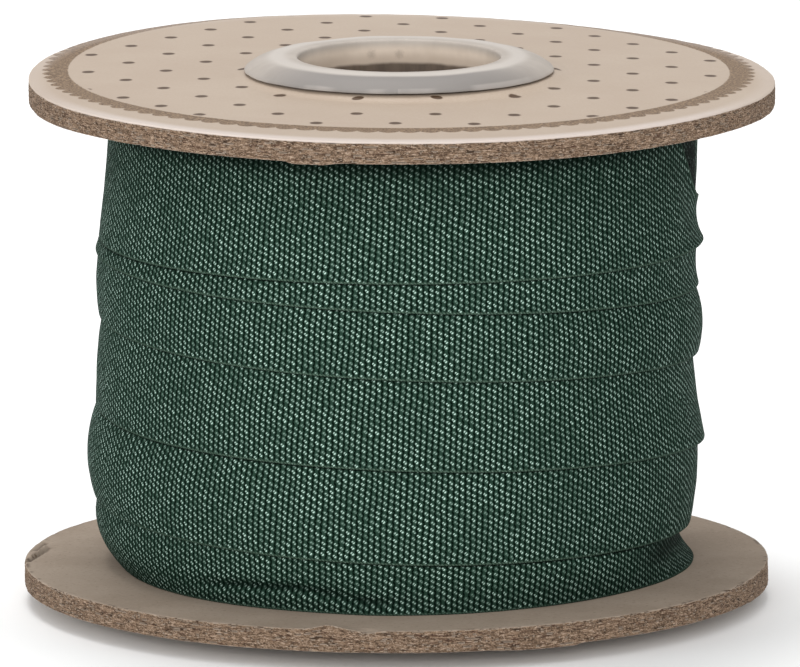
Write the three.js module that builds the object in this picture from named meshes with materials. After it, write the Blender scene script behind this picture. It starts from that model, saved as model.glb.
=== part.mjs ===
// Roll of gift ribbon on a small cardboard spool: a tube with rolled ends that clamps two board discs,
// a paper facing on the upper disc, and a woven ribbon wound in a rising helix between the discs.
// Millimetres, +Z up along the spool. The origin is on the surface it stands on, under the middle.
// Angles round the spool are degrees from the front (-Y), growing towards the right (+X).
import * as THREE from 'three';
import { mergeVertices } from 'three/addons/utils/BufferGeometryUtils.js';

// Clearance between pieces that touch on the real thing
const GAP = 0.3;

// Tube and its rolled ends
const BORE_RADIUS = 8.83;
const TUBE_RADIUS = 10.15;
const UPPER_ROLL_HEIGHT = 1.7;
const LOWER_ROLL_HEIGHT = 1.55;
const UPPER_ROLL_SHIFT = 0.1;

// Half section of a rolled end, either side of its flat ridge: out is the distance from the bore's
// wall, and up the height over the disc as a share of the roll's height
const ROLL_BORE_SIDE = [
  { out: 0, up: 0 },
  { out: 0.12, up: 0.55 },
  { out: 0.6, up: 0.87 },
  { out: 1.06, up: 1 },
];
const ROLL_OUTER_SIDE = [
  { out: 2.06, up: 1 },
  { out: 3.13, up: 0.67 },
  { out: 4.43, up: 0.42 },
  { out: 4.57, up: 0.18 },
];
const ROLL_STEPS = 5;

// Discs: each is cut from one greyboard, and they sit a little off each other
const DISC_RADIUS = 32.5;
const DISC_HOLE_RADIUS = 10.55;
const LOWER_BOARD = 1.95;
const LOWER_OFFSET = { x: -0.28, y: -0.16 };
const UPPER_OFFSET = { x: 0.28, y: 0.16 };
const RIM_ROUNDING = 0.18;
const RIM_WAVES = [
  { count: 3, height: 0.09, start: 1 },
  { count: 8, height: 0.05, start: 0 },
];

// Upper disc: board and paper share one stack, domed in the middle, leaning and slightly warped
const UPPER_STACK = 1.94;
const PAPER = 0.25;
const UPPER_TOP_CENTRE = 46.48;
const DOME = { x: 0.00049, y: 0.00043 };
const LEAN = { x: -0.0081, y: 0.0091 };
const WARP = 0.3;

// Heights that follow from the above
const LOWER_BOARD_TOP = LOWER_ROLL_HEIGHT + LOWER_BOARD;
const WOUND_BOTTOM = LOWER_BOARD_TOP + GAP;
const UPPER_BOARD = UPPER_STACK - PAPER - GAP;

// Wound ribbon. Each row is one place along the helix of the wraps' lower edges, from the tail at the
// top to the foot: the angle keeps counting from turn to turn, edge is the lower edge's height, and
// upper, middle and lower are the radii of the wrap that this edge ends, down its visible face.
const WRAPS = [
  { angle: -655, edge: 44.6, upper: 26.2, middle: 26.1, lower: 25.5 },
  { angle: -640, edge: 37.2, upper: 26.2, middle: 26.1, lower: 25.3 },
  { angle: -628, edge: 35.4, upper: 26.2, middle: 26.1, lower: 25.4 },
  { angle: -618, edge: 32.8, upper: 26.2, middle: 26.0, lower: 26.1 },
  { angle: -540, edge: 32.5, upper: 25.6, middle: 25.8, lower: 26.3 },
  { angle: -445, edge: 32.3, upper: 25.0, middle: 25.5, lower: 26.2 },
  { angle: -360, edge: 32.5, upper: 25.6, middle: 25.8, lower: 26.2 },
  { angle: -275, edge: 31.9, upper: 26.2, middle: 26.0, lower: 26.6 },
  { angle: -180, edge: 31.4, upper: 26.1, middle: 26.2, lower: 26.4 },
  { angle: -85, edge: 31.1, upper: 26.2, middle: 26.3, lower: 26.5 },
  { angle: 0, edge: 30.0, upper: 25.9, middle: 26.0, lower: 26.2 },
  { angle: 85, edge: 28.0, upper: 26.1, middle: 25.9, lower: 26.2 },
  { angle: 180, edge: 26.6, upper: 25.9, middle: 26.1, lower: 26.3 },
  { angle: 275, edge: 25.5, upper: 26.2, middle: 26.4, lower: 26.2 },
  { angle: 360, edge: 24.1, upper: 25.8, middle: 26.1, lower: 26.3 },
  { angle: 445, edge: 22.0, upper: 25.8, middle: 26.5, lower: 26.1 },
  { angle: 540, edge: 19.7, upper: 25.8, middle: 26.3, lower: 26.3 },
  { angle: 635, edge: 17.5, upper: 25.9, middle: 26.4, lower: 26.5 },
  { angle: 720, edge: 16.2, upper: 25.8, middle: 26.2, lower: 26.4 },
  { angle: 805, edge: 14.4, upper: 25.6, middle: 26.0, lower: 26.7 },
  { angle: 900, edge: 12.1, upper: 25.9, middle: 26.3, lower: 26.5 },
  { angle: 995, edge: 9.7, upper: 26.4, middle: 27.3, lower: 26.7 },
  { angle: 1080, edge: 8.0, upper: 26.1, middle: 26.5, lower: 26.5 },
  { angle: 1150, edge: 7.1, upper: 26.1, middle: 26.0, lower: 24.9 },
  { angle: 1200, edge: 6.2, upper: 26.0, middle: 25.9, lower: 25.0 },
  { angle: 1260, edge: 5.0, upper: 26.0, middle: 25.9, lower: 25.6 },
  { angle: 1350, edge: 3.5, upper: 26.2, middle: 26.4, lower: 24.4 },
  { angle: 1395, edge: 3.0, upper: 26.1, middle: 25.9, lower: 24.3 },
  { angle: 1420, edge: 3.0, upper: 26.1, middle: 25.7, lower: 25.6 },
  { angle: 1440, edge: 3.0, upper: 26.1, middle: 25.9, lower: 26.1 },
  { angle: 1487, edge: 3.0, upper: 25.9, middle: 25.7, lower: 25.4 },
  { angle: 1520, edge: 3.0, upper: 24.4, middle: 24.6, lower: 25.7 },
  { angle: 1560, edge: 3.0, upper: 24.6, middle: 24.9, lower: 25.7 },
  { angle: 1620, edge: 3.0, upper: 25.2, middle: 25.3, lower: 25.5 },
  { angle: 1720, edge: 3.0, upper: 25.3, middle: 25.3, lower: 25.4 },
];
const WOUND_RADIUS = 26;
const FIRST_ANGLE = -260;
const SEAM_TURNS = [-2, -1, 0, 1, 2, 3, 4];
const ROW_HEIGHT = 1.7;
const LEAST_WRAP = 0.02;

// Facets round the spool
const DISC_FACETS = 80;
const WOUND_FACETS = 90;
const TUBE_FACETS = 56;

const FINISHES = {
  greyboard: { color: 0x86776a, roughness: 0.95, metalness: 0 },
  facing: { color: 0xc7b7a9, roughness: 0.8, metalness: 0 },
  tube: { color: 0xb7aea3, roughness: 0.75, metalness: 0 },
  ribbon: { color: 0x2c4239, roughness: 0.6, metalness: 0 },
};

function radians(degrees) {
  return THREE.MathUtils.degToRad(degrees);
}

// A closed geometry: shared corners merged, and the triangles that merging flattened left out
function closedGeometry(geometry) {
  geometry.deleteAttribute('normal');
  geometry.deleteAttribute('uv');
  const merged = mergeVertices(geometry, 1e-4);
  const corners = merged.index.array;
  const kept = [];
  for (let first = 0; first < corners.length; first += 3) {
    const [a, b, c] = corners.slice(first, first + 3);
    if (a !== b && b !== c && c !== a) kept.push(a, b, c);
  }
  merged.setIndex(kept);
  merged.computeVertexNormals();
  return merged;
}

// A closed profile of [radius, height] turned round +Z, each corner then moved by place(x, y, z)
function turned(profile, facets, place) {
  const outline = profile.map(([radius, height]) => new THREE.Vector2(radius, height));
  outline.push(outline[0].clone());
  const geometry = closedGeometry(new THREE.LatheGeometry(outline, facets).rotateX(Math.PI / 2));
  const corners = geometry.attributes.position;
  for (let corner = 0; corner < corners.count; corner += 1) {
    const moved = place(corners.getX(corner), corners.getY(corner), corners.getZ(corner));
    corners.setXYZ(corner, moved.x, moved.y, moved.z);
  }
  geometry.computeVertexNormals();
  return geometry;
}

// Evenly spaced values from one end to the other, both included
function spread(from, to, steps) {
  return Array.from({ length: steps + 1 }, (_, step) => from + ((to - from) * step) / steps);
}

// Scale of a point on a disc, whose rim stands in and out a little as the die cut it
function rimWave(x, y) {
  const angle = Math.atan2(x, -y);
  const share = (Math.hypot(x, y) / DISC_RADIUS) ** 4;
  const heights = RIM_WAVES.map((wave) => wave.height * Math.sin(wave.count * angle + wave.start));
  return 1 + (share / DISC_RADIUS) * heights.reduce((sum, height) => sum + height, 0);
}

// Height of the upper disc's top face over a point, measured from the disc's own centre
function upperTop(x, y) {
  const angle = Math.atan2(x, -y);
  const reach = (Math.hypot(x, y) / DISC_RADIUS) ** 2;
  const warp = WARP * reach * Math.sin(2 * angle) * 0.5 * (1 - Math.cos(angle));
  return UPPER_TOP_CENTRE - DOME.x * x * x - DOME.y * y * y + LEAN.x * x + LEAN.y * y + warp;
}

// A flat ring of one thickness with softened rim corners, from its hole to its rim and back
function ringProfile(thickness, rings) {
  const inner = spread(DISC_HOLE_RADIUS, DISC_RADIUS - RIM_ROUNDING, rings);
  const round = Math.min(RIM_ROUNDING, thickness / 3);
  return [
    ...inner.map((radius) => [radius, 0]),
    [DISC_RADIUS, round],
    [DISC_RADIUS, thickness - round],
    ...inner.reverse().map((radius) => [radius, thickness]),
  ];
}

function lowerDisc() {
  return turned(ringProfile(LOWER_BOARD, 1), DISC_FACETS, (x, y, z) => {
    const wave = rimWave(x, y);
    return new THREE.Vector3(x * wave + LOWER_OFFSET.x, y * wave + LOWER_OFFSET.y, z + LOWER_ROLL_HEIGHT);
  });
}

// A layer of the upper disc, its underside at a depth below the finished top face
function upperLayer(thickness, depth) {
  return turned(ringProfile(thickness, 3), DISC_FACETS, (x, y, z) => {
    const wave = rimWave(-x, y);
    const height = upperTop(x, y) - depth + z;
    return new THREE.Vector3(x * wave + UPPER_OFFSET.x, y * wave + UPPER_OFFSET.y, height);
  });
}

// Half section of one rolled end on a disc's face: up the bore, over the ridge and down to the disc
function rolledEnd(face, height) {
  return [ROLL_BORE_SIDE, ROLL_OUTER_SIDE].flatMap((side) => {
    const places = side.map(({ out, up }) => new THREE.Vector2(BORE_RADIUS + out, face + up * height));
    return new THREE.SplineCurve(places).getPoints(ROLL_STEPS).map((point) => [point.x, point.y]);
  });
}

// The tube's upper end follows the lean of the disc that it clamps
function coreTube() {
  const upperEnd = rolledEnd(UPPER_TOP_CENTRE, UPPER_ROLL_HEIGHT);
  const lowerEnd = rolledEnd(0, LOWER_ROLL_HEIGHT).map(([radius, height]) => (
    [radius, LOWER_ROLL_HEIGHT - height]
  ));
  const profile = [
    ...lowerEnd.reverse(),
    ...upperEnd,
    [TUBE_RADIUS, UPPER_TOP_CENTRE + GAP],
    [TUBE_RADIUS, LOWER_ROLL_HEIGHT - GAP],
  ];
  return turned(profile.reverse(), TUBE_FACETS, (x, y, z) => {
    const share = THREE.MathUtils.smoothstep(z, UPPER_TOP_CENTRE / 2, UPPER_TOP_CENTRE);
    return new THREE.Vector3(x + UPPER_ROLL_SHIFT * share, y, z + share * (LEAN.x * x + LEAN.y * y));
  });
}

// A column of the wrap table read at any angle along the helix, as a smooth curve through its rows
function along(angle, column) {
  const next = WRAPS.findIndex((row) => row.angle > angle);
  const end = next < 0 ? WRAPS.length - 1 : Math.max(next, 1);
  const [before, from, to, after] = [end - 2, end - 1, end, end + 1].map(
    (row) => WRAPS[THREE.MathUtils.clamp(row, 0, WRAPS.length - 1)],
  );
  const width = to.angle - from.angle;
  const slopeFrom = ((to[column] - before[column]) / (to.angle - before.angle)) * width;
  const slopeTo = ((after[column] - from[column]) / (after.angle - from.angle)) * width;
  const t = THREE.MathUtils.clamp((angle - from.angle) / width, 0, 1);
  const rise = to[column] - from[column];
  const bend = slopeFrom * (1 - t) ** 2 * t - slopeTo * (1 - t) * t ** 2;
  return from[column] + rise * (3 * t ** 2 - 2 * t ** 3) + bend;
}

// Radius of a wrap's face, from 0 at its top to 1 at its lower edge
function wrapRadius(angle, share) {
  const upper = along(angle, 'upper') * (1 - share) * (1 - 2 * share);
  const middle = along(angle, 'middle') * 4 * share * (1 - share);
  return upper + middle + along(angle, 'lower') * share * (2 * share - 1);
}

// Height of the wound ribbon's top under the upper board
function woundTop(angle, radius) {
  const x = radius * Math.sin(radians(angle));
  const y = -radius * Math.cos(radians(angle));
  return upperTop(x - UPPER_OFFSET.x, y - UPPER_OFFSET.y) - UPPER_STACK - GAP;
}

// One upright slice of the wound face: a list of wraps, each a list of corners from top to bottom.
// A wrap that doesn't reach this slice is the one corner where it runs out, at the top or the bottom.
function woundSlice(angle, addCorner) {
  const top = woundTop(angle, WOUND_RADIUS);
  const edges = SEAM_TURNS.map((turn) => angle + turn * 360);
  const heights = edges.map((at) => THREE.MathUtils.clamp(along(at, 'edge'), WOUND_BOTTOM, top));
  const limits = [top, ...heights, WOUND_BOTTOM];
  const wraps = [...edges, edges.at(-1) + 360].map((at, index) => {
    const drop = limits[index] - limits[index + 1];
    if (drop < LEAST_WRAP) return [];
    const rows = Math.max(1, Math.round(drop / ROW_HEIGHT));
    return spread(0, 1, rows).map((share) => (
      addCorner(angle, wrapRadius(at, share), limits[index] - drop * share)
    ));
  });
  const first = wraps.find((wrap) => wrap.length)[0];
  const last = wraps.findLast((wrap) => wrap.length).at(-1);
  return wraps.map((wrap, index) => {
    if (wrap.length) return wrap;
    return [limits[index] > (top + WOUND_BOTTOM) / 2 ? first : last];
  });
}

// Triangles between two neighbouring runs of corners, both from top to bottom
function ladder(left, right, heightOf, addTriangle) {
  let a = 0;
  let b = 0;
  while (a < left.length - 1 || b < right.length - 1) {
    const leftNext = a < left.length - 1 ? heightOf(left[a + 1]) : -Infinity;
    const rightNext = b < right.length - 1 ? heightOf(right[b + 1]) : -Infinity;
    if (leftNext >= rightNext) {
      addTriangle(left[a], left[a + 1], right[b]);
      a += 1;
    } else {
      addTriangle(left[a], right[b + 1], right[b]);
      b += 1;
    }
  }
}

// The wound ribbon as one solid: stepped wraps outside, a bore inside, and two flat ends
function woundRibbon() {
  const corners = [];
  const triangles = [];
  const addCorner = (angle, radius, height) => {
    corners.push(radius * Math.sin(radians(angle)), -radius * Math.cos(radians(angle)), height);
    return corners.length / 3 - 1;
  };
  const heightOf = (corner) => corners[3 * corner + 2];
  const addTriangle = (a, b, c) => triangles.push(a, b, c);
  const angles = spread(FIRST_ANGLE, FIRST_ANGLE + 360, WOUND_FACETS).slice(0, -1);
  const slices = angles.map((angle) => woundSlice(angle, addCorner));
  const bores = angles.map((angle) => [
    addCorner(angle, DISC_HOLE_RADIUS, woundTop(angle, DISC_HOLE_RADIUS)),
    addCorner(angle, DISC_HOLE_RADIUS, WOUND_BOTTOM),
  ]);
  // A full turn later every wrap is the next one down
  slices.push([...slices[0].slice(1), [slices[0].at(-1).at(-1)]]);
  bores.push(bores[0]);
  for (let slice = 0; slice < WOUND_FACETS; slice += 1) {
    const [here, next] = [slices[slice], slices[slice + 1]];
    const [boreHere, boreNext] = [bores[slice], bores[slice + 1]];
    here.forEach((wrap, index) => {
      ladder(wrap, next[index], heightOf, addTriangle);
      if (index === here.length - 1) return;
      const step = [wrap.at(-1), here[index + 1][0]];
      ladder(step, [next[index].at(-1), next[index + 1][0]], heightOf, addTriangle);
    });
    ladder(boreNext, boreHere, heightOf, addTriangle);
    ladder([boreHere[0], here[0][0]], [boreNext[0], next[0][0]], heightOf, addTriangle);
    ladder([here.at(-1).at(-1), boreHere[1]], [next.at(-1).at(-1), boreNext[1]], heightOf, addTriangle);
  }
  const geometry = new THREE.BufferGeometry();
  geometry.setAttribute('position', new THREE.Float32BufferAttribute(corners, 3));
  geometry.setIndex(triangles);
  return closedGeometry(geometry);
}

function piece(name, geometry, finish) {
  const mesh = new THREE.Mesh(geometry, new THREE.MeshStandardMaterial(FINISHES[finish]));
  mesh.name = name;
  return mesh;
}

const group = new THREE.Group();
group.add(
  piece('lower_disc', lowerDisc(), 'greyboard'),
  piece('upper_disc', upperLayer(UPPER_BOARD, UPPER_STACK), 'greyboard'),
  piece('facing_paper', upperLayer(PAPER, PAPER), 'facing'),
  piece('core_tube', coreTube(), 'tube'),
  piece('wound_ribbon', woundRibbon(), 'ribbon'),
);

export default group;
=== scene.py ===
import math

import bpy
import numpy as np
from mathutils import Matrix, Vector, noise


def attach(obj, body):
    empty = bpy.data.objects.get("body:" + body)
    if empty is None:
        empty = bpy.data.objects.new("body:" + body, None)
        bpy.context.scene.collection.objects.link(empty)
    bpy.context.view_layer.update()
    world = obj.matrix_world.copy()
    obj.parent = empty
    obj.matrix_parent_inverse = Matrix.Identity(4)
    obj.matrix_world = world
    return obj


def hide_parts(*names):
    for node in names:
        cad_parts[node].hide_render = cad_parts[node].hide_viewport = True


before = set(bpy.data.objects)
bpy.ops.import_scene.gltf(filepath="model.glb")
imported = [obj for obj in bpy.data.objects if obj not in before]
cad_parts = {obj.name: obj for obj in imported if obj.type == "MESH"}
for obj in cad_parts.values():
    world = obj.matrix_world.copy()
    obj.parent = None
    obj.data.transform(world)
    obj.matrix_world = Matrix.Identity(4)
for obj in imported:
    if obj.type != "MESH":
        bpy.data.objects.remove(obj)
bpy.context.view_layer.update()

MM = 0.001

# Sizes in millimetres. The boards and the tube's walls have those of the solids, and the paper,
# the rolled ends and the ribbon have finer ones of their own
BOARD_RADIUS = 32.5
BOARD_HOLE = 10.55
LOWER_CENTRE = (-0.28, -0.16)
UPPER_CENTRE = (0.28, 0.16)
LOWER_FACE = 1.55
LOWER_THICKNESS = 1.95
UPPER_TOP = 46.48
UPPER_STACK = 1.94
PAPER = 0.12
DOME = (0.00049, 0.00043)
LEAN = (-0.0081, 0.0091)
WARP = 0.3
BORE = 8.83
TUBE_WALL = 10.15
ROLL_TOP = 48.07
ROLL_TILT = 0.009
ROLL_DEPTH = 1.28
ROLL_RIDGE = 0.03
RIBBON_WIDTH = 12.0
RIBBON_THICKNESS = 0.26
WRAP_GAP = 0.04
CLEARANCE = 0.02
WOUND_RADIUS = 26.1
DISC_TOP = LOWER_FACE + LOWER_THICKNESS

# The wraps along the helix: angle, height of the lower edge, and the face's radius
# at the wrap's upper, middle and lower part
WRAPS = (
    (-655, 44.6, 25.5, 25.4, 25.3),
    (-640, 37.2, 25.7, 25.7, 25.5),
    (-628, 35.4, 26.1, 26.1, 25.9),
    (-618, 32.8, 26.2, 26.1, 26.1),
    (-540, 32.5, 25.6, 25.8, 26.3),
    (-445, 32.3, 25.0, 25.5, 26.2),
    (-360, 32.5, 25.6, 25.8, 26.2),
    (-275, 31.9, 26.2, 26.0, 26.6),
    (-180, 31.4, 26.1, 26.2, 26.4),
    (-85, 31.1, 26.2, 26.3, 26.5),
    (0, 30.0, 25.9, 26.0, 26.2),
    (85, 28.0, 26.1, 25.9, 26.2),
    (180, 26.6, 25.9, 26.1, 26.3),
    (275, 25.5, 26.2, 26.4, 26.2),
    (360, 24.1, 25.8, 26.1, 26.3),
    (445, 22.0, 25.8, 26.5, 26.1),
    (540, 19.7, 25.8, 26.3, 26.3),
    (635, 17.5, 25.9, 26.4, 26.5),
    (720, 16.2, 25.8, 26.2, 26.4),
    (805, 14.4, 25.6, 26.0, 26.7),
    (900, 12.1, 25.9, 26.3, 26.5),
    (995, 9.7, 26.4, 27.3, 26.7),
    (1080, 8.0, 26.1, 26.5, 26.5),
    (1150, 7.1, 26.1, 26.0, 25.5),
    (1200, 6.2, 26.0, 25.9, 25.4),
    (1260, 5.0, 26.0, 25.9, 25.6),
    (1350, 3.5, 26.2, 26.4, 24.4),
    (1395, 3.0, 26.1, 25.9, 25.2),
    (1420, 3.0, 26.1, 25.7, 25.6),
    (1440, 3.0, 26.1, 25.9, 26.1),
    (1487, 3.0, 25.9, 25.7, 25.4),
    (1520, 3.0, 24.4, 24.6, 25.7),
    (1560, 3.0, 24.6, 24.9, 25.7),
    (1620, 3.0, 25.2, 25.3, 25.5),
    (1720, 3.0, 25.3, 25.3, 25.4),
)
ANGLE, EDGE, UPPER, MIDDLE, LOWER = range(5)

# Degrees along the helix: the slanting cut, the two strips, and where one leaves the other's cover
TAIL_TOP, TAIL_TIP = -655, -618
TURN_START, TURN_END = -760, -258.5
HELIX_START, HELIX_END = -300, 1712
HELIX_SHOWS = -258

# Line of the crease low at the front left: angles along the helix, and heights
CREASE = ((1400, 1408, 1420, 1427, 1433, 1440), (5.2, 5.5, 5.6, 5.25, 4.75, 4.5))


# Camera, floor and light

def add_camera():
    """The photograph's view: a long lens from the front, ten degrees above the board."""
    elevation = math.radians(10.373)
    roll = -0.00456
    distance = 1601.4
    shift_right, shift_down = 0.358, 0.2095
    aim = Vector((-0.28, -0.16, 23.7))
    back = Vector((0, -math.cos(elevation), math.sin(elevation)))
    right = Vector((1, 0, 0))
    up = Vector((0, math.sin(elevation), math.cos(elevation)))
    data = bpy.data.cameras.new("photo_camera")
    data.lens = 825.57
    data.sensor_width = 36
    data.clip_end = 20
    camera = bpy.data.objects.new("photo_camera", data)
    bpy.context.scene.collection.objects.link(camera)
    camera.location = (aim + back * distance + right * shift_right - up * shift_down) * MM
    camera.rotation_euler = (math.radians(90) - elevation, 0, 0)
    camera.rotation_euler.rotate_axis("Z", roll)
    bpy.context.scene.camera = camera


def add_area_light(name, place, size, power):
    data = bpy.data.lights.new(name, "AREA")
    data.shape = "RECTANGLE"
    data.size, data.size_y = size
    data.energy = power
    light = bpy.data.objects.new(name, data)
    bpy.context.scene.collection.objects.link(light)
    light.location = place
    towards_roll = Vector((0, 0, 0.025)) - Vector(place)
    light.rotation_euler = towards_roll.to_track_quat("-Z", "Y").to_euler()


def add_studio():
    deselect()
    bpy.ops.mesh.primitive_plane_add(size=6, location=(0, 0, 0))
    floor = bpy.context.object
    floor.name = "floor"
    material = bpy.data.materials.new("white_floor")
    material.use_nodes = True
    shader = material.node_tree.nodes["Principled BSDF"]
    shader.inputs["Base Color"].default_value = (0.96, 0.96, 0.96, 1)
    shader.inputs["Roughness"].default_value = 0.9
    shader.inputs["Specular IOR Level"].default_value = 0.1
    floor.data.materials.append(material)
    world = bpy.data.worlds.new("studio")
    world.use_nodes = True
    background = world.node_tree.nodes["Background"]
    background.inputs["Color"].default_value = (1, 1, 1, 1)
    background.inputs["Strength"].default_value = 0.72
    bpy.context.scene.world = world
    add_area_light("top", (-0.08, 0.24, 0.75), (0.4, 0.3), 3.0)
    add_area_light("front", (-0.1, -1.05, 0.24), (0.7, 0.34), 5.9)
    add_area_light("left", (-0.95, -0.35, 0.3), (0.5, 0.4), 2.4)
    add_area_light("right", (0.95, -0.35, 0.3), (0.5, 0.4), 1.3)
    bpy.context.scene.view_settings.view_transform = "Standard"


# Small tools

def deselect():
    if bpy.context.object and bpy.context.object.mode != "OBJECT":
        bpy.ops.object.mode_set(mode="OBJECT")
    bpy.ops.object.select_all(action="DESELECT")


def pick(obj):
    """Makes a piece the only one selected, and the active one."""
    deselect()
    obj.select_set(True)
    bpy.context.view_layer.objects.active = obj


def points_of(obj):
    places = np.empty(3 * len(obj.data.vertices))
    obj.data.vertices.foreach_get("co", places)
    return places.reshape(-1, 3) / MM


def set_points(obj, places):
    obj.data.vertices.foreach_set("co", (places * MM).ravel())
    obj.data.update()


def set_attribute(obj, name, values):
    layer = obj.data.attributes.new(name, "FLOAT", "POINT")
    layer.data.foreach_set("value", np.asarray(values, dtype=np.float32))


def smoothstep(value, low, high):
    share = np.clip((value - low) / (high - low), 0, 1)
    return share * share * (3 - 2 * share)


def grain(places, stretch, seed, octaves):
    """Smooth noise from about -1 to 1, its size in millimetres set for each direction."""
    scaled = places / np.asarray(stretch) + np.array((seed * 17.3, seed * 5.1, seed * 9.7))
    return np.array([noise.fractal(Vector(place), 1.0, 2.0, octaves) for place in scaled])


def turned(name, outline, steps, cuts=7):
    """A closed outline of (radius, height), extruded from one point and spun round the spool.
    Each spun step is then cut finer, and the cuts are pushed out onto the circle."""
    deselect()
    radius, height = outline[0]
    bpy.ops.mesh.primitive_plane_add(size=0.001, location=(radius * MM, 0, height * MM))
    obj = bpy.context.object
    obj.name = obj.data.name = name
    bpy.ops.object.transform_apply(location=True, rotation=True, scale=True)
    bpy.ops.object.mode_set(mode="EDIT")
    bpy.ops.mesh.select_mode(type="VERT")
    bpy.ops.mesh.select_all(action="SELECT")
    bpy.ops.mesh.merge(type="CENTER")
    for here, there in zip(outline, outline[1:] + outline[:1]):
        step = ((there[0] - here[0]) * MM, 0, (there[1] - here[1]) * MM)
        bpy.ops.mesh.extrude_region_move(TRANSFORM_OT_translate={"value": step})
    bpy.ops.mesh.select_all(action="SELECT")
    bpy.ops.mesh.remove_doubles(threshold=1e-7)
    bpy.ops.mesh.select_all(action="SELECT")
    bpy.ops.mesh.spin(steps=steps, angle=math.tau, center=(0, 0, 0), axis=(0, 0, 1))
    bpy.ops.mesh.select_all(action="SELECT")
    bpy.ops.mesh.remove_doubles(threshold=1e-6)
    bpy.ops.object.mode_set(mode="OBJECT")
    select_ring_edges(obj)
    bpy.ops.object.mode_set(mode="EDIT")
    bpy.ops.mesh.subdivide(number_cuts=cuts)
    bpy.ops.mesh.select_all(action="SELECT")
    bpy.ops.mesh.normals_make_consistent(inside=False)
    bpy.ops.object.mode_set(mode="OBJECT")
    places = points_of(obj)
    step = math.tau / steps
    from_middle = np.mod(np.arctan2(places[:, 1], places[:, 0]) + 1e-6, step) - 1e-6 - step / 2
    places[:, :2] *= (np.cos(from_middle) / math.cos(step / 2))[:, None]
    set_points(obj, places)
    return obj


def select_ring_edges(obj):
    """Selects the edges that run round the spool, in edge mode."""
    mesh = obj.data
    ends = np.empty(2 * len(mesh.edges), dtype=np.int32)
    mesh.edges.foreach_get("vertices", ends)
    x, y, z = points_of(obj)[ends.reshape(-1, 2)].transpose(2, 1, 0)
    radius = np.hypot(x, y)
    level = (np.abs(z[0] - z[1]) < 1e-3) & (np.abs(radius[0] - radius[1]) < 1e-3)
    mesh.vertices.foreach_set("select", np.zeros(len(mesh.vertices), dtype=bool))
    mesh.polygons.foreach_set("select", np.zeros(len(mesh.polygons), dtype=bool))
    mesh.edges.foreach_set("select", level)
    bpy.context.tool_settings.mesh_select_mode = (False, True, False)


def smooth(obj, angle=None):
    pick(obj)
    if angle is None:
        bpy.ops.object.shade_smooth()
    else:
        bpy.ops.object.shade_smooth_by_angle(angle=math.radians(angle))


def fit(obj, slot, *nodes):
    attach(obj, "root")
    if nodes:
        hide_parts(*nodes)


def round_angle(x, y):
    """Degrees round the spool from the front, positive to the right."""
    return np.degrees(np.arctan2(x, -y))


# Boards and paper

def upper_top(x, y):
    """Height of the finished top face over a place measured from the upper disc's own centre."""
    angle = np.arctan2(x, -y)
    reach = (x * x + y * y) / BOARD_RADIUS ** 2
    warp = WARP * reach * np.sin(2 * angle) * 0.5 * (1 - np.cos(angle))
    return UPPER_TOP - DOME[0] * x * x - DOME[1] * y * y + LEAN[0] * x + LEAN[1] * y + warp


def rim_wave(x, y):
    """Scale of a place on a disc, whose rim stands in and out a little as the die cut it."""
    angle = np.arctan2(x, -y)
    share = (np.hypot(x, y) / BOARD_RADIUS) ** 4
    return 1 + share / BOARD_RADIUS * (0.09 * np.sin(3 * angle + 1) + 0.05 * np.sin(8 * angle))


def board_outline(thickness, shoulder, foot):
    """Outline of a die-cut disc: shoulder on top, slight rounding below, many rows up the rim."""
    hole = [(BOARD_HOLE, thickness * share) for share in (0.95, 0.66, 0.33, 0.05)]
    under = [(radius, 0) for radius in (BOARD_HOLE + 0.1, 12, 15, 18, 21, 24, 27, 29.5, 31, 31.8)]
    rim = []
    for turn in np.linspace(0, 90, 4):
        angle = math.radians(turn)
        rim.append((BOARD_RADIUS - foot + foot * math.sin(angle), foot - foot * math.cos(angle)))
    for height in np.linspace(foot, thickness - shoulder, 20)[1:-1]:
        rim.append((BOARD_RADIUS, height))
    for turn in np.linspace(0, 90, 5):
        angle = math.radians(turn)
        rim.append((
            BOARD_RADIUS - shoulder + shoulder * math.cos(angle),
            thickness - shoulder + shoulder * math.sin(angle),
        ))
    top = [(radius, thickness) for radius in (
        32.0, 31.8, 31.6, 31.4, 31.2, 31.0, 30.7, 30.3, 29.5, 28, 26, 23.5, 21, 18, 15, 12.5,
        BOARD_HOLE + 0.1,
    )]
    return under + rim + top + hole


def roughen_rim(places, seed):
    """Layered, fibrous cut edge: long shallow furrows, lumps and short deep nicks.
    Returns the moved places, and how deep in a nick each one is."""
    x, y, z = places.T
    radius = np.hypot(x, y)
    cut = smoothstep(radius, BOARD_RADIUS - 0.3, BOARD_RADIUS - 0.1)
    at_rim = cut > 0
    lumps = np.zeros(len(places))
    nicks = np.zeros(len(places))
    rim = places[at_rim]
    lumps[at_rim] = (
        0.030 * grain(rim, (1.3, 1.3, 0.22), seed, 3)
        + 0.022 * grain(rim, (0.3, 0.3, 0.2), seed + 1, 2)
        + 0.05 * grain(rim, (5, 5, 1.2), seed + 2, 2)
    )
    long_nicks = grain(rim, (1.1, 1.1, 0.11), seed + 3, 2)
    short_nicks = grain(rim, (0.32, 0.32, 0.13), seed + 4, 2)
    nicks[at_rim] = np.maximum(
        smoothstep(long_nicks, 0.34, 0.62),
        smoothstep(short_nicks, 0.36, 0.6) * 0.9,
    )
    depth = cut * (lumps - 0.10 * nicks)
    scale = 1 + depth / radius
    moved = np.column_stack((x * scale, y * scale, z))
    return moved, nicks * cut


def segment_distance(x, y, start, end):
    """Distance of each place from a straight line, and how far along the line it is."""
    ax, ay = start
    bx, by = end
    squared = (bx - ax) ** 2 + (by - ay) ** 2
    share = np.clip(((x - ax) * (bx - ax) + (y - ay) * (by - ay)) / squared, 0, 1)
    return np.hypot(x - ax - share * (bx - ax), y - ay - share * (by - ay)), share


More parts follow.
